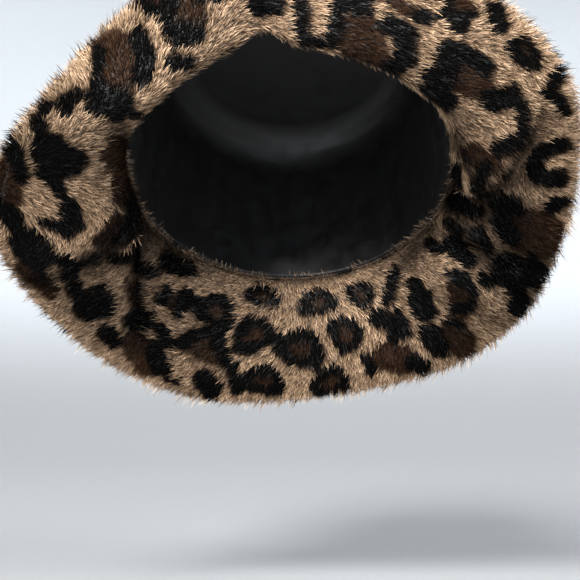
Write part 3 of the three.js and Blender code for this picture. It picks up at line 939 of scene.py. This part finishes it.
def pile_tree():
    """Hairs that stand on a backing, lie over the way it is combed and gather into locks."""
    tree = bpy.data.node_groups.new("Fur pile", "GeometryNodeTree")
    sizes = {
        "Hairs per square metre": 1e6,
        "Length": 0.010,
        "Width": 0.00045,
        "Rise": 0.75,
        "Lie": 0.62,
        "Lock size": 0.006,
        "Lock pull": 0.5,
        "Stray": 0.25,
    }
    add_sockets(tree, "INPUT", "Geometry", {"Geometry": None})
    add_sockets(tree, "INPUT", "Object", {"Hair": None})
    add_sockets(tree, "INPUT", "Float", sizes)
    add_sockets(tree, "INPUT", "Int", {"Seed": None})
    add_sockets(tree, "INPUT", "Material", {"Material": None})
    add_sockets(tree, "OUTPUT", "Geometry", {"Geometry": None})
    given = tree.nodes.new("NodeGroupInput").outputs
    lock_share, dice_share = 0.4, 0.6  # of a hair's tone, from its lock and from chance
    lock_turning, wave_turning, wave_size = 0.4, 1.0, 55.0
    tip_reach = 0.3  # how much further over than its root's way a tip lies
    chart_step = (0.0007, 0.03)  # from a root's place on the map, across and along its hair

    def named(name, kind):
        settings = dict(data_type=kind)
        node = add_node(tree, "GeometryNodeInputNamedAttribute", settings, dict(Name=name))
        return shown(node.outputs, "Attribute")

    def stored(geometry, name, kind, domain, value):
        settings = dict(data_type=kind, domain=domain)
        inputs = dict(Geometry=geometry, Name=name, Value=value)
        return add_node(tree, "GeometryNodeStoreNamedAttribute", settings, inputs).outputs[0]

    def dice(low, high, salt):
        seed = maths(tree, "ADD", given["Seed"], salt)
        inputs = dict(Min=low, Max=high, Seed=seed)
        kind = "FLOAT_VECTOR" if isinstance(low, tuple) else "FLOAT"
        node = add_node(tree, "FunctionNodeRandomValue", dict(data_type=kind), inputs)
        return shown(node.outputs, "Value")

    def plus(first, second):
        return vector_maths(tree, "ADD", first, second)

    def minus(first, second):
        return vector_maths(tree, "SUBTRACT", first, second)

    def scaled(way, by):
        return vector_maths(tree, "SCALE", way, by)

    density = maths(tree, "MULTIPLY", given["Hairs per square metre"], named("cover", "FLOAT"))
    roots = add_node(
        tree,
        "GeometryNodeDistributePointsOnFaces",
        dict(distribute_method="RANDOM"),
        dict(Mesh=given["Geometry"], Density=density, Seed=given["Seed"]),
    )
    points, normal = roots.outputs["Points"], roots.outputs["Normal"]
    points = stored(points, "hide_normal", "FLOAT_VECTOR", "POINT", normal)
    place = tree.nodes.new("GeometryNodeInputPosition").outputs[0]
    normal = named("hide_normal", "FLOAT_VECTOR")

    def lying(way):
        """The part of a way that lies along the cloth."""
        return minus(way, scaled(normal, vector_maths(tree, "DOT_PRODUCT", way, normal)))

    length = maths(tree, "MULTIPLY", given["Length"], named("grown", "FLOAT"))
    length = maths(tree, "MULTIPLY", length, dice(0.65, 1.25, 2))
    points = stored(points, "reach", "FLOAT", "POINT", length)
    length = named("reach", "FLOAT")

    lock_scale = maths(tree, "DIVIDE", 1.0, given["Lock size"])
    lock_inputs = dict(Vector=place, Scale=lock_scale)
    locks = add_node(tree, "ShaderNodeTexVoronoi", None, lock_inputs).outputs
    lock_tone = vector_maths(tree, "DOT_PRODUCT", locks["Color"], (lock_share, 0.0, 0.0))
    tone = maths(tree, "ADD", lock_tone, dice(0.0, dice_share, 1))
    wave_inputs = dict(Vector=place, Scale=wave_size, Detail=2.0)
    waves = add_node(tree, "ShaderNodeTexNoise", None, wave_inputs).outputs
    comb = named("comb", "FLOAT_VECTOR")
    comb = plus(comb, scaled(minus(locks["Color"], (0.5, 0.5, 0.5)), lock_turning))
    comb = plus(comb, scaled(minus(waves["Color"], (0.5, 0.5, 0.5)), wave_turning))
    comb = plus(comb, scaled(dice((-1.0, -1.0, -1.0), (1.0, 1.0, 1.0), 3), given["Stray"]))
    comb = vector_maths(tree, "NORMALIZE", lying(comb))
    rise = maths(tree, "MULTIPLY", given["Rise"], dice(0.6, 1.25, 4))
    root_way = vector_maths(tree, "NORMALIZE", plus(comb, scaled(normal, rise)))
    pull = scaled(lying(minus(locks["Position"], place)), given["Lock pull"])
    lying_share = maths(tree, "SUBTRACT", 1.0, named("stand", "FLOAT"))
    lie = maths(tree, "MULTIPLY", given["Lie"], lying_share)
    over = scaled(minus(scaled(comb, tip_reach), scaled(normal, lie)), length)
    points = stored(points, "bend", "FLOAT_VECTOR", "POINT", plus(over, pull))
    points = stored(points, "tone", "FLOAT", "POINT", tone)

    flat_way = plus(normal, dice((-0.6, -0.6, -0.6), (0.6, 0.6, 0.6), 5))
    turn = add_node(
        tree,
        "FunctionNodeAxesToRotation",
        dict(primary_axis="Z", secondary_axis="Y"),
        {"Primary Axis": root_way, "Secondary Axis": flat_way},
    )
    width = maths(tree, "MULTIPLY", given["Width"], dice(0.7, 1.3, 6))
    size = add_node(tree, "ShaderNodeCombineXYZ", None, dict(X=width, Y=1.0, Z=length))
    hair = add_node(tree, "GeometryNodeObjectInfo", None, dict(Object=given["Hair"]))
    hair_inputs = dict(
        Points=points,
        Instance=hair.outputs["Geometry"],
        Rotation=turn.outputs[0],
        Scale=size.outputs[0],
    )
    hairs = add_node(tree, "GeometryNodeInstanceOnPoints", None, hair_inputs).outputs[0]
    joined = add_node(tree, "GeometryNodeRealizeInstances", None, dict(Geometry=hairs)).outputs[0]
    along = named("along", "FLOAT")
    bent = scaled(named("bend", "FLOAT_VECTOR"), maths(tree, "MULTIPLY", along, along))
    bent_inputs = dict(Geometry=joined, Offset=bent)
    joined = add_node(tree, "GeometryNodeSetPosition", None, bent_inputs).outputs[0]
    step_across = maths(tree, "MULTIPLY", named("side", "FLOAT"), chart_step[0])
    step_along = maths(tree, "MULTIPLY", along, chart_step[1])
    step = add_node(tree, "ShaderNodeCombineXYZ", None, dict(X=step_across, Y=step_along))
    chart = plus(named("OFBake", "FLOAT_VECTOR"), step.outputs[0])
    joined = stored(joined, "OFBake", "FLOAT2", "CORNER", chart)
    for spent in ("bend", "comb", "reach", "side", "cover", "grown", "stand"):
        inputs = dict(Geometry=joined, Name=spent)
        settings = dict(pattern_mode="EXACT")
        joined = add_node(tree, "GeometryNodeRemoveAttribute", settings, inputs).outputs[0]
    inputs = dict(Geometry=joined, Material=given["Material"])
    dressed = add_node(tree, "GeometryNodeSetMaterial", None, inputs).outputs[0]
    fill(tree, tree.nodes.new("NodeGroupOutput").inputs[0], dressed)
    return tree


single_hair = one_hair()
fur_pile = pile_tree()


def grow_pile(name, backing, **values):
    """The hairs on a backing as a plain mesh of their own."""
    patch = bpy.data.objects.new(name, backing.data.copy())
    bpy.context.scene.collection.objects.link(patch)
    pile = patch.modifiers.new("pile", "NODES")
    pile.node_group = fur_pile
    wanted = {key.replace("_", " "): value for key, value in values.items()}
    wanted["Hair"] = single_hair
    for socket in fur_pile.interface.items_tree:
        if socket.in_out == "INPUT" and socket.name in wanted:
            pile[socket.identifier] = wanted[socket.name]
    depsgraph = bpy.context.evaluated_depsgraph_get()
    mesh = bpy.data.meshes.new_from_object(patch.evaluated_get(depsgraph), depsgraph=depsgraph)
    patch.modifiers.clear()
    patch.data = mesh
    mesh.name = name
    return patch


def fur_material(name, **print_values):
    """Printed hairs, shaded partly as the surface that they lie on."""
    material, tree, shader = printed_material(name, **print_values)
    shader.inputs["Sheen Weight"].default_value = 0.012
    shader.inputs["Sheen Roughness"].default_value = 0.4
    shader.inputs["Specular IOR Level"].default_value = 0.02
    cloth_share = 0.45
    cloth = add_node(tree, "ShaderNodeAttribute", dict(attribute_name="hide_normal"))
    hair = tree.nodes.new("ShaderNodeNewGeometry")
    inputs = dict(Factor=cloth_share, A=hair.outputs["Normal"], B=cloth.outputs["Vector"])
    blend = add_node(tree, "ShaderNodeMix", dict(data_type="VECTOR"), inputs)
    normal = vector_maths(tree, "NORMALIZE", shown(blend.outputs, "Result"))
    fill(tree, shader.inputs["Normal"], normal)
    return material


facing_fur = fur_material(
    "brim facing fur", Tan=(0.38, 0.237, 0.14, 1), Pale_tip=(0.86, 0.615, 0.415, 1),
    Brown=(0.036, 0.0172, 0.0094, 1), Root_shade=0.07,
)
facing_pile = grow_pile(
    "brim_facing_pile", brim_facing, Hairs_per_square_metre=1.0e6, Length=0.0054, Width=0.00044,
    Rise=0.8, Lie=0.45, Lock_size=0.0032, Lock_pull=0.4, Stray=0.24, Seed=3, Material=facing_fur,
)
facing_hairs = grow_pile(
    "brim_facing_guard_hairs", brim_facing, Hairs_per_square_metre=7.8e5, Length=0.0068,
    Width=0.00036, Rise=0.95, Lie=0.52, Lock_size=0.0042, Lock_pull=0.42, Stray=0.36, Seed=4,
    Material=facing_fur,
)
for piece in (facing_pile, facing_hairs):
    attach(piece, "root")
    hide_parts("brim_under")


# The upper layer of the brim
# A second ring of the same fur, sewn back to back with the facing round the free edge and to
# the outside of the crown. Its pile is brushed out towards the edge.

upper_height = 0.5
upper_columns = 540
upper_rows = 38
outer_pile = dict(
    Length=0.0085, Width=0.00055, Rise=0.85, Lie=0.45, Lock_size=0.0055, Lock_pull=0.5, Stray=0.26
)

upper_mesh, upper_angle, upper_along, upper_shown = brim_layer_mesh(
    "brim_upper", -1, upper_height, upper_columns, upper_rows
)
upper_spots = scattered_spots(brim_round, brim_width, rosette_spacing, 23)
black, brown = print_inks(
    upper_angle / full_turn * brim_round, upper_along * brim_width, upper_spots,
    scattered_wander, brim_round,
)
comb = unit(edge_ways(upper_angle) + 0.45 * leaned(along_ring(upper_angle)))
comb = laid(comb, point_normals(upper_mesh))
at_rim = smooth_step(upper_along, 0.8, 1)
upper_cover = upper_shown * (0.8 + 0.5 * at_rim)
chart_pile(upper_mesh, black, brown, comb, upper_cover, grown=0.9 + 0.1 * at_rim)
upper_mesh.materials.append(backing_material("brim upper backing"))
brim_upper = place_piece("brim_upper_backing", upper_mesh)
upper_fur = fur_material(
    "brim upper fur", Tan=(0.36, 0.24, 0.15, 1), Pale_tip=(0.7, 0.53, 0.375, 1),
    Brown=(0.05, 0.025, 0.0135, 1), Root_shade=0.2,
)
upper_pile = grow_pile(
    "brim_upper_pile", brim_upper, Hairs_per_square_metre=6.4e5, Seed=7, Material=upper_fur,
    **outer_pile,
)
for piece in (brim_upper, upper_pile):
    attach(piece, "root")
    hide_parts("brim_upper")


# The side of the crown
# One strip of the same fur round the head, sewn to the brim below and to the top above. It is
# brushed down towards the brim, and up over the seam at the top.

tip_seam_open = 1
quarter_turn = 90
bend_depth = crown_edge_radius + crown_dome
pile_depth = 0.0035
crown_columns = 360
edge_cover = 0.3  # share of the hairs at the lower edge, which lies under the brim


def crown_place(angles, share, inset, height):
    """A ring round the crown, scaled from the head opening by a share and then drawn in."""
    middle = outwards(angles) * [ring_half_width, ring_half_depth, 0]
    length = np.linalg.norm(middle, axis=-1, keepdims=True)
    point = middle * (length * share - inset) / length
    point[..., 2] = height
    return point


def crown_scale(depth):
    return crown_taper + (1 - crown_taper) * depth / crown_depth


def crown_side_ring(angles, share, distance):
    height = -crown_depth + seam_gap + (crown_depth - seam_gap - bend_depth) * share
    return crown_place(angles, crown_scale(-height), -distance, height)


def crown_bend_ring(angles, share, distance):
    turned = math.radians(quarter_turn * share)
    radius = crown_edge_radius + distance
    inset = crown_edge_radius - radius * math.cos(turned)
    height = radius * math.sin(turned) - bend_depth
    return crown_place(angles, crown_scale(bend_depth), inset, height)


def crown_top_ring(angles, share, distance):
    ring = crown_bend_ring(angles, 1, distance) * [1 - share, 1 - share, 1]
    ring[..., 2] = distance - crown_dome * (1 - share) ** 2
    return ring


def crown_rings(runs, outer, inner, columns):
    """Rings of points up the outside of the crown's wall, and up its inside."""
    angles = np.arange(columns) * full_turn / columns
    places = [(ring, share) for ring, shares in runs for share in shares]
    outside = [leaned(ring(angles, share, outer)) for ring, share in places]
    inside = [leaned(ring(angles, share, inner)) for ring, share in places]
    return angles, outside, inside


def crown_shell(name, runs, outer, inner, columns):
    """A closed wall of the crown through runs of rings, from its lower edge to its upper one."""
    angles, outside, inside = crown_rings(runs, outer, inner, columns)
    count = len(outside)
    mesh = ring_mesh(name, np.array(outside + inside[::-1]))
    order = np.linspace(0, 1, count)
    upwards = np.repeat(np.concatenate([order, order[::-1]]), columns)
    shown_rings = [edge_cover] + [1.0] * (count - 2) + [0.0] * (count + 1)
    return mesh, np.tile(angles, 2 * count), upwards, np.repeat(shown_rings, columns)


tip_seam = tip_seam_angle / quarter_turn
tip_seam_end = (tip_seam_angle + tip_seam_open) / quarter_turn
side_runs = [
    (crown_side_ring, np.linspace(0, 1, 20)),
    (crown_bend_ring, np.linspace(0, tip_seam, 9)[1:]),
]
crown_outside = crown_wall - pile_depth
crown_inside = lining_thickness + seam_gap
side_mesh, side_angle, side_up, side_shown = crown_shell(
    "crown_side", side_runs, crown_outside, crown_inside, crown_columns
)
side_round = 2 * math.pi * ring_half_width * 0.98
side_tall = 0.095
side_spots = scattered_spots(side_round, side_tall, rosette_spacing, 31)
black, brown = print_inks(
    side_angle / full_turn * side_round, side_up * side_tall, side_spots,
    scattered_wander, side_round,
)
over_seam = smooth_step(side_up, 0.9, 0.98)[:, None]
comb = leaned(0.5 * along_ring(side_angle) - straight_up)
comb = comb * (1 - over_seam) + leaned(0.8 * straight_up - outwards(side_angle)) * over_seam
comb = laid(comb, point_normals(side_mesh))
at_seam = smooth_step(side_up, 0.93, 1) + (1 - smooth_step(side_up, 0, 0.05))
seam_trim = 0.35  # how much shorter the pile is at the crown's seams
chart_pile(side_mesh, black, brown, comb, side_shown, grown=1 - seam_trim * at_seam)
side_mesh.materials.append(backing_material("crown side backing"))
crown_side = place_piece("crown_side_backing", side_mesh)
crown_fur = fur_material(
    "crown fur", Tan=(0.38, 0.245, 0.15, 1), Pale_tip=(0.78, 0.575, 0.4, 1),
    Brown=(0.045, 0.022, 0.012, 1), Root_shade=0.13,
)
crown_density = 7.2e5
side_pile = grow_pile(
    "crown_side_pile", crown_side, Hairs_per_square_metre=crown_density, Seed=9,
    Material=crown_fur, **outer_pile,
)
for piece in (crown_side, side_pile):
    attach(piece, "root")
    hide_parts("crown_side")


# The top of the crown
# A slightly domed oval of the same fur, sewn round its edge to the crown's side. Its pile is
# brushed from the front to the back, and down over the seam at its edge.

top_shares = np.concatenate([np.linspace(0, 0.98, 30), [0.995]])
top_runs = [
    (crown_bend_ring, np.linspace(tip_seam_end, 1, 7)),
    (crown_top_ring, top_shares[1:]),
]


def capped_shell(name, runs, outer, inner, columns):
    """A closed wall over the crown's top, whose faces meet in a point on the axis."""
    _, outside, inside = crown_rings(runs, outer, inner, columns)
    count = len(outside)
    ends = [leaned(straight_up * distance) for distance in (inner, outer)]
    mesh = ring_mesh(name, np.array(inside[::-1] + outside), ends)
    order = np.linspace(0, 1, count)
    upwards = np.append(np.repeat(np.concatenate([order[::-1], order]), columns), [1, 1])
    shown_rings = [0.0] * (count + 1) + [1.0] * (count - 1)
    return mesh, upwards, np.append(np.repeat(shown_rings, columns), [0, 1])


def seated(points):
    """Places on the hat as if it weren't tipped back."""
    return leaned(points * [1, -1, 1]) * [1, -1, 1]


top_columns = 240
top_mesh, top_up, top_shown = capped_shell(
    "crown_top", top_runs, crown_outside, crown_inside, top_columns
)
top_points = point_places(top_mesh)
top_width, top_length = 0.17, 0.19
top_spots = scattered_spots(top_width, top_length, rosette_spacing, 41)
flat_down = top_points[:, 1] * math.cos(lean_back) - top_points[:, 2] * math.sin(lean_back)
black, brown = print_inks(
    top_points[:, 0] + top_width / 2, flat_down + top_length / 2, top_spots, scattered_wander
)
over_edge = (1 - smooth_step(top_up, 0.02, 0.14))[:, None]
comb = leaned(np.array([0.3, 1.0, 0.0])) * (1 - over_edge)
comb = comb + leaned(unit(seated(top_points) * [1, 1, 0])) * over_edge
comb = laid(comb, point_normals(top_mesh))
top_grown = 1 - seam_trim * (1 - smooth_step(top_up, 0, 0.1))
chart_pile(top_mesh, black, brown, comb, top_shown, top_grown)
top_mesh.materials.append(backing_material("crown top backing"))
crown_top = place_piece("crown_top_backing", top_mesh)
top_pile = grow_pile(
    "crown_top_pile", crown_top, Hairs_per_square_metre=crown_density, Seed=13,
    Material=crown_fur, **outer_pile,
)
for piece in (crown_top, top_pile):
    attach(piece, "root")
    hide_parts("crown_top")


# The lining
# Thin black satin inside the crown, cut as a side strip and an oval top like the fur and sewn
# in at the brim seam. It hangs a little loose, in soft upright wrinkles.

lining_columns = 320
lining_runs = [
    (crown_side_ring, np.linspace(0, 1, 40)),
    (crown_bend_ring, np.linspace(0, 1, 18)[1:]),
    (crown_top_ring, top_shares[1:]),
]
wrinkle_depth = 0.00088
seam_depth = 0.0008
seam_width = 0.012  # as a share of the crown's depth
wrinkle_waves = [
    dict(waves=7, phase=0.4, slant=1.1),
    dict(waves=11, phase=2.0, slant=-1.7),
    dict(waves=17, phase=4.1, slant=2.3),
    dict(waves=29, phase=1.2, slant=-1.0),
]

lining_mesh, _, _ = capped_shell(
    "crown_lining", lining_runs, lining_thickness, 0, lining_columns
)
lining_points = point_places(lining_mesh)
lining_seated = seated(lining_points)
lining_turn = np.arctan2(lining_seated[:, 0], -lining_seated[:, 1])
drop = np.clip(-lining_seated[:, 2] / crown_depth, 0, 1)
wrinkles = np.zeros(len(lining_points))
for each in wrinkle_waves:
    slanted = each["waves"] * lining_turn + each["slant"] * 3 * drop + each["phase"]
    wrinkles += np.sin(slanted) / each["waves"] ** 0.35
wrinkles = np.clip(wrinkles, 0, None) * smooth_step(drop, 0.02, 0.4)
wrinkles *= 1 - smooth_step(drop, 0.86, 0.98)
tip_height = crown_edge_radius * math.sin(math.radians(tip_seam_angle)) - bend_depth
seam_ridge = np.exp(-(((drop + tip_height / crown_depth) / seam_width) ** 2))
inwards = leaned(-unit(lining_seated * [1, 1, 0.2]))
lining_points += inwards * (wrinkle_depth * wrinkles + seam_depth * seam_ridge)[:, None]
lining_mesh.vertices.foreach_set("co", lining_points.astype(np.float32).ravel())
lining_mesh.update()
lining_material = bpy.data.materials.new("black satin lining")
lining_material.use_nodes = True
tree = lining_material.node_tree
shader = tree.nodes["Principled BSDF"]
shader.inputs["Sheen Weight"].default_value = 0.02
shader.inputs["Specular IOR Level"].default_value = 0.35
place = object_place(tree)
thread_inputs = dict(Vector=place, Scale=900.0, Distortion=0.6)
threads = add_node(tree, "ShaderNodeTexWave", dict(bands_direction="DIAGONAL"), thread_inputs)
slub_inputs = dict(Vector=place, Scale=120.0, Detail=3.0)
slubs = add_node(tree, "ShaderNodeTexNoise", None, slub_inputs).outputs["Fac"]
satin_black = mixed(tree, slubs, (0.003, 0.003, 0.003, 1), (0.007, 0.007, 0.0075, 1))
fill(tree, shader.inputs["Base Color"], satin_black)
fill(tree, shader.inputs["Roughness"], ranged(tree, slubs, 0.3, 0.7, 0.34, 0.5))
height = maths(tree, "ADD", threads.outputs["Fac"], maths(tree, "MULTIPLY", slubs, 2.0))
bump = add_node(tree, "ShaderNodeBump", None, dict(Strength=0.25, Distance=0.0002, Height=height))
fill(tree, shader.inputs["Normal"], bump.outputs["Normal"])
lining_mesh.materials.append(lining_material)
crown_lining = place_piece("crown_lining_satin", lining_mesh)
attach(crown_lining, "root")
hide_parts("crown_lining")


# The studio
# A plain pale floor that sweeps up into a wall all round, and large soft lights, the strongest
# from the upper left of the photograph.

floor_height = -0.34
floor_reach = 1.0
sweep_radius = 2.0
wall_height = 3.0
studio_columns = 96
profile = [(radius, floor_height) for radius in np.linspace(0.02, floor_reach, 24)]
for turn in np.linspace(0, math.pi / 2, 20)[1:]:
    radius = floor_reach + sweep_radius * math.sin(turn)
    profile.append((radius, floor_height + sweep_radius * (1 - math.cos(turn))))
for height in np.linspace(floor_height + sweep_radius, wall_height, 6)[1:]:
    profile.append((floor_reach + sweep_radius, height))
studio_out = outwards(np.arange(studio_columns) * full_turn / studio_columns)
studio_rings = np.array([studio_out * radius + [0, 0, height] for radius, height in profile])
studio_faces = []
for row in range(len(profile) - 1):
    for at in range(studio_columns):
        after = (at + 1) % studio_columns
        low, high = row * studio_columns, (row + 1) * studio_columns
        studio_faces.append((low + at, low + after, high + after, high + at))
studio_faces.append(tuple(range(studio_columns))[::-1])
studio_mesh = bpy.data.meshes.new("studio")
studio_mesh.from_pydata(studio_rings.reshape(-1, 3), [], [face[::-1] for face in studio_faces])
studio_mesh.polygons.foreach_set("use_smooth", np.ones(len(studio_faces), dtype=bool))
studio_material = bpy.data.materials.new("pale wall")
studio_material.use_nodes = True
tree = studio_material.node_tree
shader = tree.nodes["Principled BSDF"]
place = object_place(tree)
cloud_inputs = dict(Vector=place, Scale=1.2, Detail=3.0)
clouds = add_node(tree, "ShaderNodeTexNoise", None, cloud_inputs).outputs["Fac"]
height = add_node(tree, "ShaderNodeSeparateXYZ", None, dict(Vector=place)).outputs["Z"]
low_colour = mixed(tree, clouds, (0.265, 0.275, 0.285, 1), (0.29, 0.3, 0.31, 1))
high_colour = mixed(tree, clouds, (0.52, 0.55, 0.585, 1), (0.56, 0.59, 0.625, 1))
low_wall, high_wall = -0.325, -0.1
wall_share = ranged(tree, height, low_wall, high_wall)
fill(tree, shader.inputs["Base Color"], mixed(tree, wall_share, low_colour, high_colour))
shader.inputs["Roughness"].default_value = 0.9
studio_mesh.materials.append(studio_material)
studio = place_piece("studio", studio_mesh)


def soft_light(name, place, target, size, power, colour):
    lamp = bpy.data.lights.new(name, "AREA")
    lamp.shape = "DISK"
    lamp.size = size
    lamp.energy = power
    lamp.color = colour
    light = bpy.data.objects.new(name, lamp)
    light.location = place
    light.rotation_euler = (Vector(target) - Vector(place)).to_track_quat("-Z", "Y").to_euler()
    bpy.context.scene.collection.objects.link(light)


hat_middle = (0, -0.05, -0.1)
soft_light("window light", (-0.6, -2.1, 1.35), hat_middle, 0.7, 172, (1.0, 0.985, 0.96))
soft_light("room light", (1.2, -1.8, 1.6), hat_middle, 1.0, 46, (0.98, 0.99, 1.0))
soft_light("back light", (0.2, 1.5, 1.5), hat_middle, 1.5, 24, (1.0, 1.0, 1.0))
soft_light("wall light", (0, 0.9, 1.9), (0, 3.0, 0.2), 1.5, 1.5, (0.97, 0.99, 1.0))
world = bpy.data.worlds.new("room")
world.use_nodes = True
world.node_tree.nodes["Background"].inputs["Color"].default_value = (0.93, 0.96, 1.0, 1)
world.node_tree.nodes["Background"].inputs["Strength"].default_value = 0.25
bpy.context.scene.world = world
